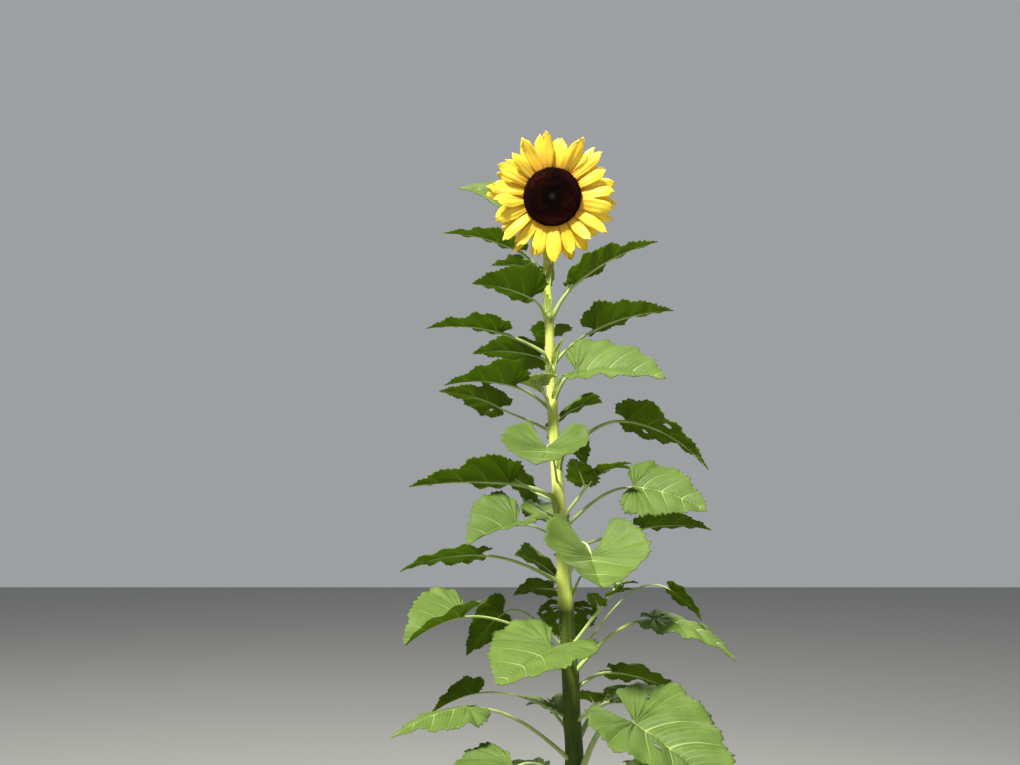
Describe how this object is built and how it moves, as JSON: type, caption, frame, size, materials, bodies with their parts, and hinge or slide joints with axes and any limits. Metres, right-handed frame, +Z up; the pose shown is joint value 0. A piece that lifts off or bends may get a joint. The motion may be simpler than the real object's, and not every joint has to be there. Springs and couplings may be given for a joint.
{
  "type": "sunflower plant",
  "caption": "Tall single-stemmed sunflower, rooted upright, with stalked heart-shaped leaves all round and one open yellow flower head with a dark disc.",
  "frame": {"origin": "middle of the flat cut under the stem, at ground level", "axes": "+Z up along the plant; the flower looks towards -Y; +X is the right of someone who looks at the flower"},
  "size_m": [0.7123, 0.6766, 2.0614],
  "materials": {
    "stem_skin": "satin green skin, ridged and hairy",
    "leaf": "matt leaf with pale veins",
    "young_leaf": "matt pale young leaf",
    "bract": "matt green bract",
    "ray": "satin yellow petal, deeper at its foot",
    "disc_florets": "velvety dark florets"
  },
  "bodies": {
    "root": {"disc": "disc_florets", "leaf_back_high": "leaf", "leaf_back_left_foot": "leaf", "leaf_back_left_high": "leaf", "leaf_back_left_inner": "leaf", "leaf_back_left_low": "leaf", "leaf_back_left_mid": "leaf", "leaf_back_low": "leaf", "leaf_back_right_foot": "leaf", "leaf_back_right_high": "leaf", "leaf_back_right_low": "leaf", "leaf_back_right_mid": "leaf", "leaf_behind_head": "leaf", "leaf_front_broad": "leaf", "leaf_front_great": "leaf", "leaf_front_heart": "leaf", "leaf_front_high": "leaf", "leaf_front_left_low": "leaf", "leaf_inner_left_low": "leaf", "leaf_left_bright": "leaf", "leaf_left_droop": "leaf", "leaf_left_foot_bright": "leaf", "leaf_left_foot_dark": "leaf", "leaf_left_high": "leaf", "leaf_left_low": "leaf", "leaf_left_mid": "leaf", "leaf_left_shade": "leaf", "leaf_left_shade_low": "leaf", "leaf_left_under": "leaf", "leaf_lower_01": "leaf", "leaf_lower_02": "leaf", "leaf_lower_03": "leaf", "leaf_lower_04": "leaf", "leaf_lower_05": "leaf", "leaf_lower_06": "leaf", "leaf_lower_07": "leaf", "leaf_lower_08": "leaf", "leaf_lower_09": "leaf", "leaf_lower_10": "leaf", "leaf_right_arch": "leaf", "leaf_right_bright": "leaf", "leaf_right_dark": "leaf", "leaf_right_long": "leaf", "leaf_right_mid": "leaf", "leaf_right_mid_under": "leaf", "leaf_right_shade": "leaf", "leaf_shoot_dark": "leaf", "leaf_top_back": "leaf", "leaf_top_left": "leaf", "leaf_upper_left": "leaf", "leaf_upper_right": "leaf", "rays_back": "ray", "rays_front": "ray", "receptacle": "bract", "sprig_curled": "young_leaf", "sprig_low_left": "young_leaf", "sprig_low_right": "young_leaf", "sprig_right_buds": "young_leaf", "sprig_right_shoot": "young_leaf", "stem": "stem_skin"}
  },
  "joints": []
}
